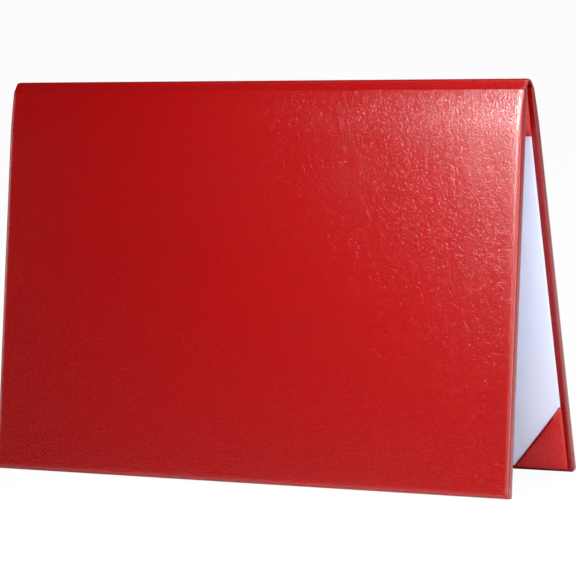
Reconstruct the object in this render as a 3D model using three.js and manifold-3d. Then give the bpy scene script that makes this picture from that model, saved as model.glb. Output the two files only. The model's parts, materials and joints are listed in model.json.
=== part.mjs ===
// Padded diploma cover, standing open as a tent with its fold on top.
// Millimetres, +X along the fold, +Z up, the front panel towards -Y, origin on the floor under the fold.

import * as THREE from 'three';
import { mergeVertices } from 'three/addons/utils/BufferGeometryUtils.js';
import Module from 'manifold-3d';

const wasm = await Module();
wasm.setup();
const { Manifold, Mesh: SolidMesh } = wasm;

// Overall sizes, for an A4 sheet each side of the fold

const coverWidth = 314;
const coverHeight = 215;
const leanDegrees = 9.7;

// Thickness of each layer, and the film of glue or the play between two of them

const leatherThickness = 0.6;
const paddingThickness = 2.2;
const boardThickness = 1.6;
const cardThickness = 0.8;
const liningThickness = 0.25;
const trimThickness = 0.45;
const glue = 0.12;

// The hinge: half of the slit left along the fold line, and the unpadded strip beside it

const foldGap = 0.15;
const stripHeight = 5;
const stripSlope = 30;
const padTipRadius = 0.9;
const hingeRoll = 24;

// The padded face rolls down to its free edges

const edgeRoll = 6;
const edgeDrop = 2.4;
const hemRadius = 0.5;

// Inside of the cover: turned-in hems, lining panel, hinge liner and corner pockets

const hemWidth = 15;
const border = 3;
const liningTop = 30.6;
const linerTuck = 5;
const pocketAcross = 30;
const pocketUp = 34;
const pocketFlap = 9;

// Facets of the curves, how far a cutter runs past what it cuts, and how near points are one corner

const rollSteps = 8;
const tipSteps = 4;
const hingeSteps = 10;
const overrun = 5;
const weldDistance = 1e-5;

// Layer levels, outwards from the plane midway between the panels of the closed cover.
// The faces of the two linings lie in that plane.

const liningFace = 0;
const liningBack = liningFace + liningThickness;
const cardFace = liningBack + glue;
const cardBack = cardFace + cardThickness;
const trimFace = cardBack + glue;
const trimBack = trimFace + trimThickness;
const hemFace = trimBack + glue;
const hemBack = hemFace + leatherThickness;
const boardFace = hemBack + glue;
const boardBack = boardFace + boardThickness;
const paddingBase = boardBack + glue;
const skinInside = paddingBase + paddingThickness + glue;
const skinOutside = skinInside + leatherThickness;
const pocketFace = liningFace - glue - trimThickness;

// Distances down a panel from the fold line, and across it from its middle

const skinAndGlue = leatherThickness + glue;
const boardTop = stripHeight + skinAndGlue;
const rollStart = stripHeight + padTipRadius;
const liningBottom = coverHeight - border;
const halfWidth = coverWidth / 2;
const liningHalf = halfWidth - border;
const wallAndGlue = liningThickness + glue;

const lean = THREE.MathUtils.degToRad(leanDegrees);
const slope = THREE.MathUtils.degToRad(stripSlope);

// Solids from three.js geometry and back

function solidFrom(geometry) {
  const bare = geometry.index ? geometry.toNonIndexed() : geometry.clone();
  bare.deleteAttribute('normal');
  bare.deleteAttribute('uv');
  const merged = mergeVertices(bare, weldDistance);
  return new Manifold(new SolidMesh({
    numProp: 3,
    vertProperties: merged.attributes.position.array,
    triVerts: new Uint32Array(merged.index.array),
  }));
}

function geometryFrom(solid) {
  const mesh = solid.getMesh();
  const geometry = new THREE.BufferGeometry();
  geometry.setAttribute('position', new THREE.BufferAttribute(mesh.vertProperties, 3));
  geometry.setIndex(new THREE.BufferAttribute(mesh.triVerts, 1));
  geometry.computeVertexNormals();
  return geometry;
}

// A panel is drawn hanging from the fold line. A point of its section is [down, out]: the distance
// down from the fold and the distance out from the middle plane, so z = -down and y = -out.

function shapeOf(points) {
  return new THREE.Shape(points.map(([u, v]) => new THREE.Vector2(u, v)));
}

function extrude(points, depth) {
  return new THREE.ExtrudeGeometry(shapeOf(points), { depth, bevelEnabled: false, steps: 1 });
}

// A section [down, out], run along the fold between two places across the panel
function alongFold(points, from, to) {
  const geometry = extrude(points.map(([down, out]) => [-out, -down]), to - from);
  const turn = new THREE.Matrix4().makeBasis(
    new THREE.Vector3(0, 1, 0),
    new THREE.Vector3(0, 0, 1),
    new THREE.Vector3(1, 0, 0),
  );
  geometry.applyMatrix4(turn);
  geometry.translate(from, 0, 0);
  return solidFrom(geometry);
}

// A profile [across, out], run down the panel
function downPanel(points, from, to) {
  const geometry = extrude(points.map(([across, out]) => [across, -out]), to - from);
  geometry.translate(0, 0, -to);
  return solidFrom(geometry);
}

// An outline [across, down], run through the panel's thickness
function throughPanel(points, from, to) {
  const geometry = extrude(points, to - from);
  const turn = new THREE.Matrix4().makeBasis(
    new THREE.Vector3(1, 0, 0),
    new THREE.Vector3(0, 0, -1),
    new THREE.Vector3(0, 1, 0),
  );
  geometry.applyMatrix4(turn);
  geometry.translate(0, -to, 0);
  return solidFrom(geometry);
}

function block({ across, down, out }) {
  const size = [across[1] - across[0], out[1] - out[0], down[1] - down[0]];
  const geometry = new THREE.BoxGeometry(...size);
  geometry.translate(across[0] + size[0] / 2, -out[0] - size[1] / 2, -down[0] - size[2] / 2);
  return solidFrom(geometry);
}

// A curve moved inwards by a distance, square to itself. curveAt gives [point, outward normal] at 0..1.
function insetCurve(curveAt, steps, inset) {
  const points = [];
  for (let step = 0; step <= steps; step += 1) {
    const [point, normal] = curveAt(step / steps);
    const length = Math.hypot(normal[0], normal[1]);
    points.push([point[0] - inset * normal[0] / length, point[1] - inset * normal[1] / length]);
  }
  return points;
}

// Quarter ellipse where the padded face rolls down to a free edge at the given place
function edgeCurve(edge) {
  return (share) => {
    const angle = share * Math.PI / 2;
    const along = edge - edgeRoll + edgeRoll * Math.sin(angle);
    const out = skinOutside - edgeDrop + edgeDrop * Math.cos(angle);
    return [[along, out], [Math.sin(angle) / edgeRoll, Math.cos(angle) / edgeDrop]];
  };
}

// Small round where the turned edge meets the hem inside the cover
function hemCurve(edge) {
  return (share) => {
    const angle = share * Math.PI / 2;
    const normal = [Math.cos(angle), -Math.sin(angle)];
    const along = edge - hemRadius + hemRadius * normal[0];
    return [[along, hemFace + hemRadius + hemRadius * normal[1]], normal];
  };
}

function freeEdge(edge, inset) {
  const roll = insetCurve(edgeCurve(edge), rollSteps, inset);
  const hem = insetCurve(hemCurve(edge), tipSteps, Math.min(inset, hemRadius));
  const trimmed = Math.max(inset - hemRadius, 0);
  return [...roll, ...hem.map(([along, out]) => [along - trimmed, out + trimmed])];
}

// The strip beside the fold: lines that rise from the fold at the strip's slope, a height above its inside

const turnBack = foldGap + leatherThickness;
const stripInside = 0;
const stripTrimBack = trimThickness;
const stripSkinInside = trimThickness + glue;
const stripSkinOutside = stripSkinInside + leatherThickness;

function stripLevel(down, height) {
  return foldGap + (down - foldGap) * Math.tan(slope) + height / Math.cos(slope);
}

// The pad's end at the strip: a small round out of the crease, then a long roll up to the full padding

const creaseLevel = stripLevel(stripHeight, stripSkinOutside);
const rollLevel = creaseLevel + padTipRadius;

function tipCurve(share) {
  const angle = share * Math.PI / 2;
  const normal = [-Math.cos(angle), Math.sin(angle)];
  return [[rollStart + padTipRadius * normal[0], creaseLevel + padTipRadius * normal[1]], normal];
}

function hingeCurve(share) {
  const angle = share * Math.PI / 2;
  const rise = skinOutside - rollLevel;
  const steepness = rise * Math.cos(angle) * Math.PI / 2 / hingeRoll;
  return [[rollStart + hingeRoll * share, rollLevel + rise * Math.sin(angle)], [-steepness, 1]];
}

function panelSection(inset) {
  return [
    [stripHeight + inset, hemFace + inset],
    ...insetCurve(tipCurve, tipSteps, inset),
    ...insetCurve(hingeCurve, hingeSteps, inset).slice(1),
    ...freeEdge(coverHeight, inset),
  ];
}

function panelProfile(inset) {
  const right = freeEdge(halfWidth, inset);
  const left = right.map(([across, out]) => [-across, out]).reverse();
  return [...left, ...right];
}

// The padded panel's body without the strip, moved inwards all round by a distance
function panelBody(inset) {
  const section = alongFold(panelSection(inset), -halfWidth, halfWidth);
  return section.intersect(downPanel(panelProfile(inset), 0, coverHeight));
}

// Leatherette: one skin over the padded face, round the edges and a hem's width onto the inside,
// with the bare strip that runs up to the fold

function leatherSkin() {
  const strip = alongFold([
    [foldGap, stripLevel(foldGap, stripInside)],
    [foldGap, stripLevel(foldGap, stripSkinOutside)],
    [stripHeight, creaseLevel],
    [rollStart, creaseLevel],
    [rollStart, stripLevel(stripHeight, stripInside)],
    [stripHeight, stripLevel(stripHeight, stripInside)],
  ], -halfWidth, halfWidth);
  const cavity = panelBody(leatherThickness).intersect(block({
    across: [-halfWidth, halfWidth],
    down: [0, coverHeight],
    out: [hemBack, skinOutside],
  }));
  const window = block({
    across: [hemWidth - halfWidth, halfWidth - hemWidth],
    down: [boardTop, coverHeight - hemWidth],
    out: [hemFace - overrun, boardFace],
  });
  const linerSpace = alongFold([
    [turnBack, stripLevel(turnBack, stripSkinInside)],
    [boardTop, stripLevel(boardTop, stripSkinInside)],
    [boardTop, -overrun],
    [turnBack, -overrun],
  ], -liningHalf - glue, liningHalf + glue);
  return panelBody(0).add(strip).subtract(cavity).subtract(window).subtract(linerSpace);
}

// Foam padding between the skin and the board, thinned to nothing at the strip

function padding() {
  return panelBody(skinAndGlue).intersect(block({
    across: [-halfWidth, halfWidth],
    down: [boardTop, coverHeight],
    out: [paddingBase, skinOutside],
  }));
}

// Stiff board that carries the panel

function board() {
  return panelBody(skinAndGlue).intersect(block({
    across: [-halfWidth, halfWidth],
    down: [boardTop, coverHeight],
    out: [boardFace, boardBack],
  }));
}

// Card of the inner panel, with the lining sheet over its face and round its edges

function innerCard() {
  return block({
    across: [wallAndGlue - liningHalf, liningHalf - wallAndGlue],
    down: [liningTop + wallAndGlue, liningBottom - wallAndGlue],
    out: [cardFace, cardBack],
  });
}

function lining() {
  const sheet = block({
    across: [-liningHalf, liningHalf],
    down: [liningTop, liningBottom],
    out: [liningFace, cardBack],
  });
  const cardSpace = block({
    across: [liningThickness - liningHalf, liningHalf - liningThickness],
    down: [liningTop + liningThickness, liningBottom - liningThickness],
    out: [liningBack, cardBack + overrun],
  });
  return sheet.subtract(cardSpace);
}

// Liner of the hinge: up the strip, round the board's top edge and down under the lining's top edge

function hingeLiner() {
  const legBack = boardTop - glue;
  const legFace = legBack - trimThickness;
  const linerStart = turnBack + glue;
  const linerEnd = liningTop + linerTuck;
  return alongFold([
    [linerStart, stripLevel(linerStart, stripInside)],
    [legFace, stripLevel(legFace, stripInside)],
    [legFace, trimFace],
    [linerEnd, trimFace],
    [linerEnd, trimBack],
    [legBack, trimBack],
    [legBack, stripLevel(legBack, stripTrimBack)],
    [linerStart, stripLevel(linerStart, stripTrimBack)],
  ], -liningHalf, liningHalf);
}

// Corner pocket: a triangle over the lining's corner, folded round the card's two edges onto its back

function cornerPocket(side) {
  const wrap = glue + trimThickness;
  const outerEdge = liningHalf + wrap;
  const outerFoot = liningBottom + wrap;
  const inward = (edge) => (side > 0 ? [-overrun, edge] : [-edge, overrun]);
  const triangle = throughPanel([
    [side * outerEdge, outerFoot],
    [side * (outerEdge - wrap - pocketAcross), outerFoot],
    [side * outerEdge, outerFoot - wrap - pocketUp],
  ], pocketFace, trimBack);
  const panelSpace = block({
    across: inward(liningHalf + glue),
    down: [liningTop, liningBottom + glue],
    out: [pocketFace + trimThickness, trimFace],
  });
  const backWindow = block({
    across: inward(outerEdge - pocketFlap),
    down: [liningTop, outerFoot - pocketFlap],
    out: [cardFace, trimBack + overrun],
  });
  return triangle.subtract(panelSpace).subtract(backWindow);
}

// Finishes

const redLeatherette = { color: 0xb01418, roughness: 0.42, metalness: 0 };
const redTrim = { color: 0xa81a1c, roughness: 0.5, metalness: 0 };
const whiteFoam = { color: 0xe9e6de, roughness: 0.95, metalness: 0 };
const greyBoard = { color: 0x9a9488, roughness: 0.9, metalness: 0 };
const whiteCard = { color: 0xe4e1da, roughness: 0.85, metalness: 0 };
const paleLining = { color: 0xe6ebfe, roughness: 0.7, metalness: 0 };

function piece(name, solid, finish) {
  const mesh = new THREE.Mesh(geometryFrom(solid), new THREE.MeshStandardMaterial(finish));
  mesh.name = name;
  return mesh;
}

// One panel with all that it carries. The back panel is the front one turned half round, so its
// sides change places.

function panel(name, facing) {
  const group = new THREE.Group();
  group.add(
    piece(`${name}_leatherette`, leatherSkin(), redLeatherette),
    piece(`${name}_padding`, padding(), whiteFoam),
    piece(`${name}_board`, board(), greyBoard),
    piece(`${name}_inner_card`, innerCard(), whiteCard),
    piece(`${name}_lining`, lining(), paleLining),
    piece(`${name}_hinge_liner`, hingeLiner(), redTrim),
  );
  for (const side of [-1, 1]) {
    const hand = side * facing > 0 ? 'right' : 'left';
    group.add(piece(`${name}_${hand}_corner_pocket`, cornerPocket(side), redTrim));
  }
  group.rotation.x = -lean;
  return group;
}

// The height of the fold, with the lower edges of the leaning panels on the floor

function foldHeight() {
  const reach = panelSection(0).map(([down, out]) => down * Math.cos(lean) - out * Math.sin(lean));
  return Math.max(...reach);
}

const frontSide = new THREE.Group();
frontSide.add(panel('front', 1));

const backSide = new THREE.Group();
backSide.rotation.z = Math.PI;
backSide.add(panel('back', -1));

const cover = new THREE.Group();
cover.add(frontSide, backSide);
for (const side of cover.children) {
  side.position.z = foldHeight();
}

export default cover;
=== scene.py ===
import json
import math

import bpy
from mathutils import Matrix, Vector


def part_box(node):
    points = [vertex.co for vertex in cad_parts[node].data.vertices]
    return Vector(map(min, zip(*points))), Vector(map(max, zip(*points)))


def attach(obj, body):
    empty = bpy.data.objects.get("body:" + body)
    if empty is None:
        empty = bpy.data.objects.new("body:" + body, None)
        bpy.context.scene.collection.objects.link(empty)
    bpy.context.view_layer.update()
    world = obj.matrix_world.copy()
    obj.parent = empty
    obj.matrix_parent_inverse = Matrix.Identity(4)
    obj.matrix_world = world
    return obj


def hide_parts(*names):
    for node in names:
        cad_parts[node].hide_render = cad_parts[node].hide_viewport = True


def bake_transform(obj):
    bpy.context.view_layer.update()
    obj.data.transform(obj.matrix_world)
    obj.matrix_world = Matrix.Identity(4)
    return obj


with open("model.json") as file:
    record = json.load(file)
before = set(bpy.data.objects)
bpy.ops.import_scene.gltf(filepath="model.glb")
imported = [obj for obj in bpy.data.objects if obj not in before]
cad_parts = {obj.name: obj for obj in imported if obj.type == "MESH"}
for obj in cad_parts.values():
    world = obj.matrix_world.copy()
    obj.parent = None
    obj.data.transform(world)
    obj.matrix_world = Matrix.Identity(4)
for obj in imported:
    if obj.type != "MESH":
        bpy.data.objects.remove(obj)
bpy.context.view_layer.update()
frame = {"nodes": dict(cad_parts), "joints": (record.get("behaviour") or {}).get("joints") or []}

# A padded diploma cover that stands as a tent. Sizes are in metres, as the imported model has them

MM = 0.001
FOLD_HEIGHT = frame["joints"][0]["pos_m"][2]
LEAN = math.radians(9.7)
HALF_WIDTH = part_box("front_leatherette")[1][0]
PANEL_HEIGHT = 215 * MM

# Thickness of each layer, and the film of glue between two of them

LEATHER = 0.6 * MM
TRIM = 0.45 * MM
GLUE = 0.12 * MM
LINING = 0.25 * MM
CARD = 0.8 * MM
BOARD = 1.6 * MM
PADDING = 2.2 * MM

# Levels outwards from the plane between the panels of the closed cover, as they lie in a panel

CARD_BACK = LINING + GLUE + CARD
TRIM_FACE = CARD_BACK + GLUE
TRIM_BACK = TRIM_FACE + TRIM
HEM_FACE = TRIM_BACK + GLUE
SKIN_OUTSIDE = HEM_FACE + 2 * LEATHER + BOARD + PADDING + 3 * GLUE
THICKNESS = SKIN_OUTSIDE - HEM_FACE
POCKET_FACE = -GLUE - TRIM

# The bare strip beside the fold, and the crown in which the sheets bend over it

FOLD_GAP = 0.15 * MM
STRIP_HEIGHT = 5 * MM
STRIP_SLOPE = math.radians(30)
STRIP_THICKNESS = LEATHER + GLUE + TRIM
CROWN_REACH = 1.4 * MM
CROWN_RISE = 0.25 * MM
CROWN_INSIDE = -0.95 * MM
CROWN_KNEE = 0.2 * MM

# The padded face: the roll up to its full thickness, its fullness, its free edges and its hem

TIP_RADIUS = 0.9 * MM
HINGE_ROLL = 24 * MM
FACE_BULGE = 0.7 * MM
EDGE_ROLL = 2.8 * MM
EDGE_DROP = 1.5 * MM
BOTTOM_ROLL = 2.4 * MM
HEM_RADIUS = 0.5 * MM
HEM_WIDTH = 15 * MM
BORDER = 3 * MM

# The lining, and the liner that is tucked under its top edge

LINING_TOP = 30.6 * MM
LINING_BOTTOM = PANEL_HEIGHT - BORDER
LINING_HALF = HALF_WIDTH - BORDER
LINING_ROLL = 0.45 * MM
LINING_DROP = 0.3 * MM
LINING_RADIUS = 0.2 * MM
LINING_TURN = 8 * MM
LINING_SHEET = 0.1 * MM
LINER_TUCK = 5 * MM
LINER_ROUNDING = 0.5 * MM

# The corner pockets: two plies of thin trim, turned round the card's corner

POCKET_WRAP = GLUE + TRIM
PLY = TRIM / 2
ACROSS_LEG = 30 * MM + POCKET_WRAP
UP_LEG = 34 * MM + POCKET_WRAP
POCKET_FLAP = 9 * MM
POCKET_PUFF = 0.35 * MM
POCKET_BULGE = 0.25 * MM
UNDER_FOLD = 5 * MM
POCKET_MARGIN = 0.3 * MM

# Rows and columns of the sheets: how far from an edge the nearest ones lie, and how many there are

SKIN_FLAT = EDGE_ROLL + 2 * MM
SKIN_NEAR = [0.8 * MM, 2.5 * MM, 6 * MM]
SKIN_SPACING = 7 * MM
SKIN_TURNED = [1.5 * MM, 6 * MM, HEM_WIDTH]
SKIN_PULL = 0.25 * MM
LINING_FLAT = 1.2 * MM
LINING_NEAR = [0.4 * MM, 1.2 * MM, 4 * MM]
LINING_SPACING = 10 * MM
LINING_TURNED = [1 * MM, LINING_TURN]
LINING_PULL = 0.1 * MM
FLAT_MARGIN = 4 * MM
CROWN_ROWS = 5
TIP_ROWS = 5
HINGE_ROWS = 14
FLAT_ROWS = 20
EDGE_STEPS = 7
HEM_STEPS = 3
BEND_STEPS = 4
LINER_COLUMNS = 44
POCKET_STEPS = 14


# Places on a panel: down from the fold line, and out from the plane between the panels


def panel_point(side, across, down, out):
    """A point of a panel. side is -1 on the front panel and 1 on the back one."""
    return Vector((
        across,
        side * (down * math.sin(LEAN) + out * math.cos(LEAN)),
        FOLD_HEIGHT - down * math.cos(LEAN) + out * math.sin(LEAN),
    ))


def strip_level(down, height):
    """How far out a layer of the bare strip lies, that height above the strip's inside."""
    return FOLD_GAP + (down - FOLD_GAP) * math.tan(STRIP_SLOPE) + height / math.cos(STRIP_SLOPE)


CREASE_LEVEL = strip_level(STRIP_HEIGHT, STRIP_THICKNESS)
ROLL_START = STRIP_HEIGHT + TIP_RADIUS
ROLL_LEVEL = CREASE_LEVEL + TIP_RADIUS
ROLL_END = ROLL_START + HINGE_ROLL


def outer_level(down):
    """How far out the skin's face lies, that far down a panel."""
    if down < STRIP_HEIGHT:
        return strip_level(down, STRIP_THICKNESS)
    if down < ROLL_START:
        return CREASE_LEVEL + math.sqrt(max(TIP_RADIUS ** 2 - (ROLL_START - down) ** 2, 0))
    share = min((down - ROLL_START) / HINGE_ROLL, 1)
    return ROLL_LEVEL + (SKIN_OUTSIDE - ROLL_LEVEL) * math.sin(share * math.pi / 2)


def inner_level(down):
    """The same on the inside: the strip's own inside, and the hem below it."""
    if down <= STRIP_HEIGHT:
        return strip_level(down, 0)
    return HEM_FACE


def bend(start, knee, end, share):
    """A point of the smooth curve from start to end that leans towards the knee."""
    return start * (1 - share) ** 2 + knee * 2 * share * (1 - share) + end * share ** 2


def crown(side, across, down, level, peak):
    """A point of the smooth bend over the fold, between the top of a strip and the fold's middle."""
    foot = panel_point(side, across, CROWN_REACH, level(CROWN_REACH))
    below = panel_point(side, across, 2 * CROWN_REACH, level(2 * CROWN_REACH))
    top = Vector((across, 0, FOLD_HEIGHT + peak))
    rise = (top.z - foot.z) / (foot.z - below.z)
    knee = foot + (foot - below) * rise
    knee.y = side * max(side * knee.y, CROWN_KNEE)
    return bend(top, knee, foot, down / CROWN_REACH)


# Meshes


def new_piece(name, points, faces, finish):
    mesh = bpy.data.meshes.new(name)
    mesh.from_pydata([tuple(point) for point in points], [], faces)
    mesh.validate()
    piece = bpy.data.objects.new(name, mesh)
    bpy.context.scene.collection.objects.link(piece)
    mesh.materials.append(finish)
    mesh.polygons.foreach_set("use_smooth", [True] * len(mesh.polygons))
    return piece


def thicken(piece, thickness, even=True):
    """Gives a sheet its thickness, behind its face."""
    modifier = piece.modifiers.new("thickness", "SOLIDIFY")
    modifier.thickness = thickness
    modifier.offset = -1
    modifier.use_even_offset = even
    applied = bpy.data.meshes.new_from_object(piece.evaluated_get(bpy.context.evaluated_depsgraph_get()))
    piece.modifiers.clear()
    piece.data = applied
    return piece


def between(last, current, turned=False):
    """The faces between two rows of points. turned makes them face the other way."""
    faces = []
    for step in range(len(last) - 1):
        first, second = last[step], last[step + 1]
        third, fourth = current[step + 1], current[step]
        faces.append((first, fourth, third, second) if turned else (first, second, third, fourth))
    return faces


def edge_stops(edge, near):
    return [(edge, 0.0)] + [(edge, offset) for offset in near]


def stops(half, margin, near, spacing):
    """Places across a sheet. Each is (anchor, offset): from the middle if the anchor is 0, and
    otherwise inwards from that edge, so that it moves with the edge's bands."""
    inner = half - margin - near[-1] - spacing
    count = max(int(2 * inner / spacing), 1)
    middle = [(0, -inner + 2 * inner * step / count) for step in range(count + 1)]
    return edge_stops(-1, near) + middle + edge_stops(1, near)[::-1]


def place_of(stop, half, inset):
    anchor, offset = stop
    return offset if anchor == 0 else anchor * (half - inset - offset)


def wrapped_sheet(name, across, along, half, flat, bands, pull, place, finish, ends=1.0):
    """A sheet over a slab, with its four edges turned round the slab's edges by closed bands.
    half is the slab's half sizes, and the flat face ends that far inside them. Its corners are
    pulled in a little. place gives the point for (across, along, inset, share). ends is how much
    of the roll's width its two ends have."""
    points, faces = [], []
    rows, columns = len(along), len(across)

    def add(column, row, inset, share):
        stop_across, stop_along = across[column], along[row]
        corner = pull if stop_across[0] and stop_along[0] and not stop_across[1] + stop_along[1] else 0
        lengthwise = inset * ends if share < 0.5 else inset
        points.append(place(
            place_of(stop_across, half[0], inset + corner),
            place_of(stop_along, half[1], lengthwise + corner),
            inset, share,
        ))
        return len(points) - 1

    grid = [[add(column, row, flat, 0) for column in range(columns)] for row in range(rows)]
    for row in range(rows - 1):
        faces += between(grid[row], grid[row + 1])
    ring = [(column, 0) for column in range(columns - 1)]
    ring += [(columns - 1, row) for row in range(rows - 1)]
    ring += [(column, rows - 1) for column in range(columns - 1, 0, -1)]
    ring += [(0, row) for row in range(rows - 1, 0, -1)]
    last = [grid[row][column] for column, row in ring]
    for inset, share in bands:
        current = [add(column, row, inset, share) for column, row in ring]
        faces += between(last + last[:1], current + current[:1], turned=True)
        last = current
    return new_piece(name, points, faces, finish)


def rolled_bands(roll, drop, radius, thickness, turned):
    """Bands from the face's flat down round an edge and onto the back: (inset, share of thickness)."""
    bands = []
    for step in range(EDGE_STEPS + 1):
        angle = math.pi / 2 * step / EDGE_STEPS
        bands.append((roll * (1 - math.sin(angle)), drop * (1 - math.cos(angle)) / thickness))
    for step in range(HEM_STEPS + 1):
        angle = math.pi / 2 * step / HEM_STEPS
        bands.append((
            radius * (1 - math.cos(angle)),
            (thickness - radius * (1 - math.sin(angle))) / thickness,
        ))
    return bands + [(inset, 1.0) for inset in turned]


def rounded(path, radius):
    """A path of points with its corners rounded."""
    result = [path[0]]
    for before, corner, after in zip(path, path[1:], path[2:]):
        arm = min(radius, (before - corner).length / 2, (after - corner).length / 2)
        start = corner + (before - corner).normalized() * arm
        end = corner + (after - corner).normalized() * arm
        result += [bend(start, corner, end, step / BEND_STEPS) for step in range(BEND_STEPS + 1)]
    return result + [path[-1]]


# Shaders: maths on values is written with Python's operators


class Value:
    """A shader socket's value. Each operator adds its Math node."""

    def __init__(self, shader, socket):
        self.shader = shader
        self.socket = socket

    def math(self, operation, other):
        return self.shader.node("ShaderNodeMath", {"operation": operation}, {0: self, 1: other})

    def __add__(self, other):
        return self.math("ADD", other)

    def __mul__(self, other):
        return self.math("MULTIPLY", other)

    __radd__ = __add__
    __rmul__ = __mul__


class Shader:
    """The nodes of a material or of the world."""

    def __init__(self, owner):
        owner.use_nodes = True
        self.owner = owner
        self.tree = owner.node_tree
        self.tree.nodes.clear()

    def node(self, kind, settings=None, sockets=None, output=0):
        """Adds a node: its settings first, then its sockets. Gives the value of one output."""
        node = self.tree.nodes.new(kind)
        for setting, value in (settings or {}).items():
            if setting == "stops":
                set_ramp(node.color_ramp, value)
            else:
                setattr(node, setting, value)
        for key, value in (sockets or {}).items():
            if isinstance(value, Value):
                self.tree.links.new(value.socket, node.inputs[key])
            else:
                node.inputs[key].default_value = value
        return Value(self, node.outputs[output]) if node.outputs else None

    def place(self):
        return self.node("ShaderNodeTexCoord", output="Object")

    def noise(self, place, scale, detail, output=0):
        sockets = {"Vector": place, "Scale": scale, "Detail": detail}
        return self.node("ShaderNodeTexNoise", {}, sockets, output)

    def ramp(self, value, pairs):
        return self.node("ShaderNodeValToRGB", {"stops": pairs}, {"Fac": value})

    def bump(self, height, depth, strength=1.0):
        return self.node("ShaderNodeBump", {}, {"Strength": strength, "Distance": depth, "Height": height})

    def blend(self, factor, first, second):
        """A mix of two colours: a Mix node's colours are its inputs 6 and 7 and its output 2."""
        return self.node("ShaderNodeMix", {"data_type": "RGBA"}, {0: factor, 6: first, 7: second}, 2)

    def shifted(self, place, offset, amount):
        """A place moved by a colour, for uneven patterns."""
        scaled = self.node("ShaderNodeVectorMath", {"operation": "SCALE"}, {0: offset, "Scale": amount})
        return self.node("ShaderNodeVectorMath", {"operation": "ADD"}, {0: place, 1: scaled})

    def surface(self, **sockets):
        """Ends a material with the plain surface shader, and gives the material."""
        named = {key.replace("_", " "): value for key, value in sockets.items()}
        shade = self.node("ShaderNodeBsdfPrincipled", {}, named)
        self.node("ShaderNodeOutputMaterial", {}, {"Surface": shade})
        return self.owner


def new_finish(name):
    return Shader(bpy.data.materials.new(name))


def set_ramp(ramp, pairs):
    while len(ramp.elements) < len(pairs):
        ramp.elements.new(0.5)
    for element, (position, shade) in zip(ramp.elements, pairs):
        element.position = position
        element.color = (shade, shade, shade, 1)


def colour(red, green, blue):
    """A colour written in the usual 0 to 255, as Blender's linear values."""
    def linear(level):
        level /= 255
        return level / 12.92 if level <= 0.04045 else ((level + 0.055) / 1.055) ** 2.4
    return (linear(red), linear(green), linear(blue), 1)


# Finishes. A pattern's scale is about how many of its cells lie in a metre

WANDER_SCALE = 260.0
WANDER_SHIFT = 1.6 * MM
PATCH_SCALE = 14.0
FIBRE_SCALE = 2200.0
CLOUD_SCALE = 60.0
PAPER_DEPTH = 0.1 * MM
FOAM_SCALE = 1800.0
FOAM_DEPTH = 0.3 * MM


def leatherette(name, red, deep_tone_and_shade, roughness, grain, depth):
    """Pebbled leatherette: uneven cells and folds, with painted shade (a deeper red) and less gloss in the
    creases, and patches of deeper tone.
    """
    finish = new_finish(name)
    place = finish.place()
    uneven = finish.shifted(place, finish.noise(place, WANDER_SCALE, 2.0, "Color"), WANDER_SHIFT)
    cells = finish.node(
        "ShaderNodeTexVoronoi", {"feature": "SMOOTH_F1"},
        {"Vector": uneven, "Scale": grain, "Smoothness": 0.35, "Randomness": 1.0},
    )
    fold = finish.node(
        "ShaderNodeTexNoise", {},
        {"Vector": uneven, "Scale": grain * 0.8, "Detail": 3.0, "Roughness": 0.55, "Distortion": 1.2},
    )
    pebble = finish.ramp(cells, [(0.1, 1.0), (0.75, 0.0)])
    height = pebble * 0.62 + fold * 0.7
    shaded_crease = finish.ramp(height, [(0.35, 1.0), (0.7, 0.0)])
    patch = finish.noise(place, PATCH_SCALE, 3.0)
    return finish.surface(
        # The creases' deeper red is painted shade; the patches' deeper red is uneven tone
        Base_Color=finish.blend(shaded_crease * 0.45 + patch * 0.25, red, deep_tone_and_shade),
        Roughness=roughness + shaded_crease * 0.08 + patch * 0.04,
        Specular_IOR_Level=0.6,
        Normal=finish.bump(height, depth),
    )


def paper(name, tone, warm, weave):
    """Smooth pale lining, card or board, with faint fibres and clouds."""
    finish = new_finish(name)
    place = finish.place()
    fibre = finish.noise(place, FIBRE_SCALE, 3.0)
    cloud = finish.noise(place, CLOUD_SCALE, 4.0)
    return finish.surface(
        Base_Color=finish.blend(cloud * 0.3 + fibre * 0.15, tone, warm),
        Roughness=0.62 + fibre * 0.1,
        Specular_IOR_Level=0.3,
        Normal=finish.bump(fibre * weave + cloud * 0.2, PAPER_DEPTH, 0.35),
    )


def foam(name, tone, pore_shade):
    """Open foam: small cells, with painted shade darkening their middles."""
    finish = new_finish(name)
    cells = finish.node("ShaderNodeTexVoronoi", {}, {"Vector": finish.place(), "Scale": FOAM_SCALE})
    return finish.surface(
        # The darker middles of the cells are painted shade in the pores
        Base_Color=finish.blend(cells * 0.6, pore_shade, tone),
        Roughness=0.95,
        Normal=finish.bump(cells, FOAM_DEPTH, 0.6),
    )


red_face = leatherette("red_leatherette", colour(141, 1, 2), colour(116, 0, 1), 0.14, 1200.0, 0.09 * MM)
# The liner's and the pockets' reds are painted lighter than the face's red: painted light, standing in for
# light that doesn't reach them inside the cover
red_liner_painted_light = leatherette("red_liner_painted_light", colour(226, 32, 30), colour(172, 13, 14), 0.32, 1000.0, 0.12 * MM)
red_trim_painted_light = leatherette("red_trim_painted_light", colour(208, 26, 25), colour(150, 8, 9), 0.28, 1000.0, 0.2 * MM)
pale_lining = paper("pale_lining", colour(232, 236, 253), colour(224, 229, 248), 0.5)
plain_card = paper("plain_card", colour(228, 225, 218), colour(214, 209, 198), 0.9)
grey_board = paper("grey_board", colour(154, 148, 136), colour(128, 122, 110), 1.0)
pale_foam = foam("pale_foam", colour(233, 230, 222), colour(198, 192, 180))


# The skin: one sheet of leatherette over both panels and the fold, turned in at its four edges


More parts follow.
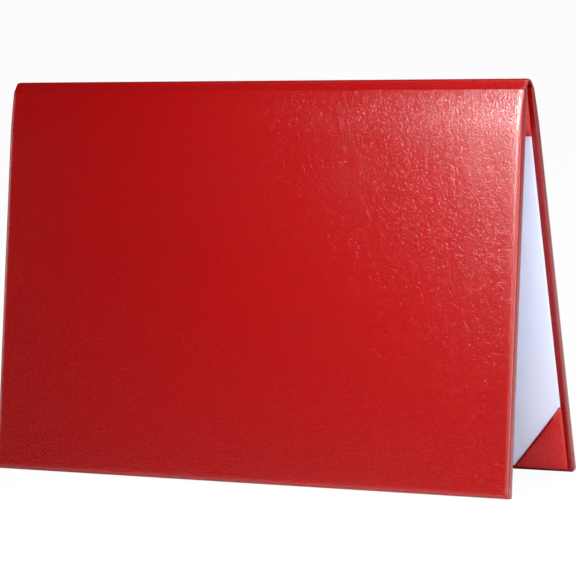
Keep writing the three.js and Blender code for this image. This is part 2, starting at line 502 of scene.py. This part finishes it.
def face_bulge(across, down):
    """The padded face is very slightly fuller in its middle."""
    sideways = 1 - (across / HALF_WIDTH) ** 4
    reach = min(max((down - ROLL_START) / (PANEL_HEIGHT - ROLL_START), 0), 1)
    return FACE_BULGE * sideways * math.sin(math.pi * reach) ** 0.7


def skin_place(across, along, inset, share):
    """A point of the skin. share is 0 on its face and 1 on the hem, which is narrow at the fold."""
    side = -1 if along < 0 else 1
    down = abs(along)
    if share >= 1 and down < ROLL_START and inset > HEM_RADIUS:
        narrowed = HEM_RADIUS + (inset - HEM_RADIUS) * (BORDER - HEM_RADIUS) / (HEM_WIDTH - HEM_RADIUS)
        across = math.copysign(HALF_WIDTH - narrowed, across)
    if down < CROWN_REACH:
        outer = crown(side, across, down, outer_level, CROWN_RISE)
        inner = crown(side, across, down, inner_level, CROWN_INSIDE)
    else:
        bulge = face_bulge(across, down) * (1 - min(share * 3, 1))
        outer = panel_point(side, across, down, outer_level(down) + bulge)
        inner = panel_point(side, across, down, inner_level(down))
    return outer.lerp(inner, share)


def skin_rows():
    """Rows along the sheet, from the front panel's free edge over the fold to the back one's."""
    crown_rows = [CROWN_REACH * step / CROWN_ROWS for step in range(1, CROWN_ROWS + 1)]
    strip_rows = [STRIP_HEIGHT * share for share in (0.44, 0.64, 0.84, 0.95, 1)]
    tip_rows = [
        ROLL_START - TIP_RADIUS * math.cos(math.pi / 2 * step / TIP_ROWS)
        for step in range(1, TIP_ROWS + 1)
    ]
    roll_rows = [
        ROLL_START + HINGE_ROLL * (step / HINGE_ROWS) ** 1.25
        for step in range(1, HINGE_ROWS + 1)
    ]
    flat_end = PANEL_HEIGHT - HEM_WIDTH - SKIN_NEAR[-1] - FLAT_MARGIN
    flat_rows = [ROLL_END + (flat_end - ROLL_END) * step / FLAT_ROWS for step in range(1, FLAT_ROWS + 1)]
    downs = crown_rows + strip_rows + tip_rows + roll_rows + flat_rows
    front = edge_stops(-1, SKIN_NEAR) + [(0, -down) for down in reversed(downs)]
    back = [(0, down) for down in downs] + edge_stops(1, SKIN_NEAR)[::-1]
    return front + [(0, 0.0)] + back


def make_skin():
    across = stops(HALF_WIDTH, HEM_WIDTH, SKIN_NEAR, SKIN_SPACING)
    bands = rolled_bands(EDGE_ROLL, EDGE_DROP, HEM_RADIUS, THICKNESS, SKIN_TURNED)
    skin = wrapped_sheet(
        "cover_leatherette", across, skin_rows(), (HALF_WIDTH, PANEL_HEIGHT),
        SKIN_FLAT, bands, SKIN_PULL, skin_place, red_face, BOTTOM_ROLL / EDGE_ROLL,
    )
    thicken(skin, LEATHER)
    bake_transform(skin)
    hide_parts("front_leatherette", "back_leatherette")


# The hinge liner: a strip that follows the fold on the inside and runs down under both linings


def liner_path():
    leg = STRIP_HEIGHT + LEATHER - TRIM
    down_and_out = [
        (LINING_TOP + LINER_TUCK, TRIM_FACE),
        (leg, TRIM_FACE),
        (leg, strip_level(leg, 0)),
        (CROWN_REACH, strip_level(CROWN_REACH, 0)),
    ]
    front = [panel_point(-1, 0, down, out) for down, out in down_and_out]
    back = [panel_point(1, 0, down, out) for down, out in reversed(down_and_out)]
    over_fold = [
        crown(side, 0, CROWN_REACH * share, inner_level, CROWN_INSIDE)
        for side, share in ((-1, 0.66), (-1, 0.33), (1, 0), (1, 0.33), (1, 0.66))
    ]
    return rounded(front + over_fold + back, LINER_ROUNDING)


def make_liner():
    points, faces, last = [], [], []
    for point in liner_path():
        current = []
        for column in range(LINER_COLUMNS + 1):
            across = -LINING_HALF + 2 * LINING_HALF * column / LINER_COLUMNS
            current.append(len(points))
            points.append(point + Vector((across, 0, 0)))
        faces += between(last, current, turned=True)
        last = current
    liner = thicken(new_piece("hinge_liner", points, faces, red_liner_painted_light), TRIM)
    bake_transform(liner)
    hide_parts("front_hinge_liner", "back_hinge_liner")


# The linings, each drawn over its card and turned round the card's edges


def make_lining(side, body):
    middle = (LINING_TOP + LINING_BOTTOM) / 2
    half = (LINING_HALF, (LINING_BOTTOM - LINING_TOP) / 2)

    def place(across, along, inset, share):
        return panel_point(side, side * across, middle + along, share * (CARD_BACK + GLUE / 4))

    margin = LINING_FLAT + LINING_TURN
    across, along = [stops(size, margin, LINING_NEAR, LINING_SPACING) for size in half]
    bands = rolled_bands(LINING_ROLL, LINING_DROP, LINING_RADIUS, CARD_BACK, LINING_TURNED)
    lining = wrapped_sheet(
        f"{body}_lining_sheet", across, along, half,
        LINING_FLAT, bands, LINING_PULL, place, pale_lining,
    )
    thicken(lining, LINING_SHEET)
    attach(lining, f"{body}_cover")
    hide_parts(f"{body}_lining")


# The corner pockets: a triangle of leatherette with its long edge folded under, turned round the
# card's corner onto its back. A spot of the triangle counts its steps inwards and upwards. add
# makes a point that far inwards and upwards from the corner, and out from the panel


def pocket_triangle(add):
    """The pocket's face, a little fuller in its middle: its spots, and the faces between them."""
    spots, faces = {}, []
    for first in range(POCKET_STEPS + 1):
        for second in range(POCKET_STEPS + 1 - first):
            third = POCKET_STEPS - first - second
            # The fullness is 1 in the middle, where the three counts are the same, and 0 at each edge
            fullness = 27 * first * second * third / POCKET_STEPS ** 3
            spots[first, second] = add(
                ACROSS_LEG * first / POCKET_STEPS,
                UP_LEG * second / POCKET_STEPS,
                POCKET_FACE - POCKET_PUFF * fullness,
            )
    for first in range(POCKET_STEPS):
        for second in range(POCKET_STEPS - first):
            loop = [(first, second), (first + 1, second), (first, second + 1)]
            if first + second < POCKET_STEPS - 1:
                loop.insert(2, (first + 1, second + 1))
            faces.append(tuple(spots[spot] for spot in loop))
    return spots, faces


def turned_legs(spots, add):
    """The foot and the side, turned round the card's edges and onto its back as flaps.
    A band is how far in it lies from those edges, and how far behind the pocket's face."""
    legs = [(POCKET_STEPS - step, 0) for step in range(POCKET_STEPS)]
    legs += [(0, step) for step in range(POCKET_STEPS + 1)]
    flap_depth = TRIM_BACK - POCKET_FACE - PLY
    bands = [
        (-0.18 * MM, 0.12 * MM),
        (-POCKET_BULGE, 0.35 * MM),
        (-POCKET_BULGE, TRIM_BACK - POCKET_FACE - 0.3 * MM),
        (0.0, flap_depth),
        (POCKET_FLAP / 2, flap_depth),
        (POCKET_FLAP, flap_depth),
    ]
    faces = []
    last = [spots[spot] for spot in legs]
    for inset, depth in bands:
        current = []
        start = max(inset, 0)
        foot_length = ACROSS_LEG * (1 - start / UP_LEG) - start
        side_length = UP_LEG * (1 - start / ACROSS_LEG) - start
        for first, second in legs:
            inwards = start + foot_length * first / POCKET_STEPS if first else inset
            upwards = start + side_length * second / POCKET_STEPS if second else inset
            current.append(add(inwards, upwards, POCKET_FACE + depth))
        faces += between(last, current)
        last = current
    return faces


def folded_edge(spots, add):
    """The long edge, folded under over a narrow roll. The ply under the face ends a little inside
    the foot and the side. A band is how far out it lies, and how far behind the pocket's face."""
    edge = [(step, POCKET_STEPS - step) for step in range(POCKET_STEPS + 1)]
    outwards = Vector((UP_LEG, ACROSS_LEG)).normalized()
    bands = [
        (0.14 * MM, 0.06 * MM),
        (0.2 * MM, 0.22 * MM),
        (0.1 * MM, 0.36 * MM),
        (-UNDER_FOLD, 0.4 * MM),
    ]
    faces = []
    last = [spots[spot] for spot in edge]
    for reach, depth in bands:
        current = []
        squeeze = 1 + min(reach, 0) / (ACROSS_LEG / 2)
        for first, _ in edge:
            share = 0.5 + (first / POCKET_STEPS - 0.5) * squeeze
            inwards = ACROSS_LEG * share + outwards.x * reach
            upwards = UP_LEG * (1 - share) + outwards.y * reach
            current.append(add(
                max(inwards, POCKET_MARGIN),
                max(upwards, POCKET_MARGIN),
                POCKET_FACE + depth - PLY / 4,
            ))
        faces += between(last, current, turned=True)
        last = current
    return faces


def make_pocket(side, hand, body):
    name = "right" if hand > 0 else "left"
    points = []

    def add(inwards, upwards, out):
        across = hand * (LINING_HALF + POCKET_WRAP - inwards)
        points.append(panel_point(side, across, LINING_BOTTOM + POCKET_WRAP - upwards, out))
        return len(points) - 1

    spots, faces = pocket_triangle(add)
    faces += turned_legs(spots, add)
    faces += folded_edge(spots, add)
    # Half of the pockets are mirror images, so their faces are turned to look outwards again
    if side * hand > 0:
        faces = [tuple(reversed(loop)) for loop in faces]
    pocket = new_piece(f"{body}_{name}_pocket", points, faces, red_trim_painted_light)
    thicken(pocket, PLY / 2, even=False)
    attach(pocket, f"{body}_cover")
    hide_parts(f"{body}_{name}_corner_pocket")


# Padding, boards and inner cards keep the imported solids


def finish_node(name, finish):
    node = frame["nodes"][name]
    node.data.materials.clear()
    node.data.materials.append(finish)


make_skin()
make_liner()
for side, body in ((-1, "front"), (1, "back")):
    make_lining(side, body)
    for hand in (-1, 1):
        make_pocket(side, hand, body)
    finish_node(f"{body}_padding", pale_foam)
    finish_node(f"{body}_board", grey_board)
    finish_node(f"{body}_inner_card", plain_card)


# Floor and background: white to the camera, a pale floor and a dim sky to the light

WHITE = (1, 1, 1, 1)
FLOOR_HALF = 14.0
FLOOR_WHITE = 0.95
AMBIENT = 0.04


def make_floor():
    finish = new_finish("pale_floor")
    camera_ray = finish.node("ShaderNodeLightPath", output="Is Camera Ray")
    diffuse = finish.node("ShaderNodeBsdfDiffuse", {}, {"Color": (0.9, 0.9, 0.9, 1)})
    white = finish.node("ShaderNodeEmission", {}, {"Color": WHITE, "Strength": 1.0})
    shade = finish.node("ShaderNodeMixShader", {}, {0: camera_ray * FLOOR_WHITE, 1: diffuse, 2: white})
    finish.node("ShaderNodeOutputMaterial", {}, {"Surface": shade})
    corners = [(FLOOR_HALF * x, FLOOR_HALF * y, 0) for x, y in ((-1, -1), (1, -1), (1, 1), (-1, 1))]
    new_piece("floor", corners, [(0, 1, 2, 3)], finish.owner)


def make_world():
    studio = Shader(bpy.data.worlds.new("studio"))
    camera_ray = studio.node("ShaderNodeLightPath", output="Is Camera Ray")
    ambient = studio.node("ShaderNodeBackground", {}, {"Color": (0.93, 0.96, 1, 1), "Strength": AMBIENT})
    white = studio.node("ShaderNodeBackground", {}, {"Color": WHITE, "Strength": 1.0})
    shade = studio.node("ShaderNodeMixShader", {}, {0: camera_ray, 1: ambient, 2: white})
    studio.node("ShaderNodeOutputWorld", {}, {"Surface": shade})
    bpy.context.scene.world = studio.owner


def softbox(name, place, target, width, height, watts, spread=180):
    """A rectangular lamp. spread is how widely it throws its light, in degrees."""
    lamp = bpy.data.lights.new(name, "AREA")
    lamp.shape = "RECTANGLE"
    lamp.size = width
    lamp.size_y = height
    lamp.energy = watts
    lamp.spread = math.radians(spread)
    holder = bpy.data.objects.new(name, lamp)
    bpy.context.scene.collection.objects.link(holder)
    holder.location = place
    holder.rotation_euler = (Vector(target) - Vector(place)).to_track_quat("-Z", "Y").to_euler()


def overhead_light(strength, angle):
    """A sun straight above. angle is how wide it is, in degrees, which softens its shadows."""
    sun = bpy.data.lights.new("overhead_light", "SUN")
    sun.energy = strength
    sun.angle = math.radians(angle)
    bpy.context.scene.collection.objects.link(bpy.data.objects.new("overhead_light", sun))


def make_camera(place, yaw, pitch, roll, lens):
    """The photograph's view. Angles are in degrees, and lens is in mm for a 36 mm wide picture."""
    turn = Matrix.Rotation(math.radians(yaw), 4, "Z")
    tilt = Matrix.Rotation(math.radians(90 + pitch), 4, "X")
    level = Matrix.Rotation(math.radians(roll), 4, "Z")
    camera_data = bpy.data.cameras.new("camera")
    camera_data.sensor_width = 36
    camera_data.lens = lens
    camera = bpy.data.objects.new("camera", camera_data)
    bpy.context.scene.collection.objects.link(camera)
    camera.matrix_world = Matrix.Translation(Vector(place)) @ turn @ tilt @ level
    bpy.context.scene.camera = camera


make_floor()
make_world()
softbox("corner_light", (0.01, -0.64, 0.47), (0.17, -0.03, 0.19), 0.11, 0.18, 1.05, 80)
softbox("top_light", (-0.08, -1.00, 0.68), (0.12, -0.03, 0.19), 0.34, 0.28, 0.8)
softbox("right_light", (0.20, -0.33, 0.36), (0.17, -0.03, 0.16), 0.20, 0.20, 0.22, 90)
softbox("front_light", (0.60, -1.70, 0.70), (-0.1, 0, 0.1), 1.0, 0.8, 8.3)
softbox("inside_light", (1.00, -0.55, 0.15), (0.12, 0, 0.09), 0.7, 0.5, 6.2)
softbox("left_light", (-1.25, -0.45, 0.30), (-0.15, -0.03, 0.1), 0.5, 0.5, 2.6)
softbox("back_light", (0.6, 0.9, 0.6), (0, 0, 0.1), 0.8, 0.6, 6)
overhead_light(1.5, 40)
make_camera((0.8527, -1.4957, 0.3190), 29.4, -7.27, -2.49, 200.9)
bpy.context.scene.view_settings.view_transform = "Standard"
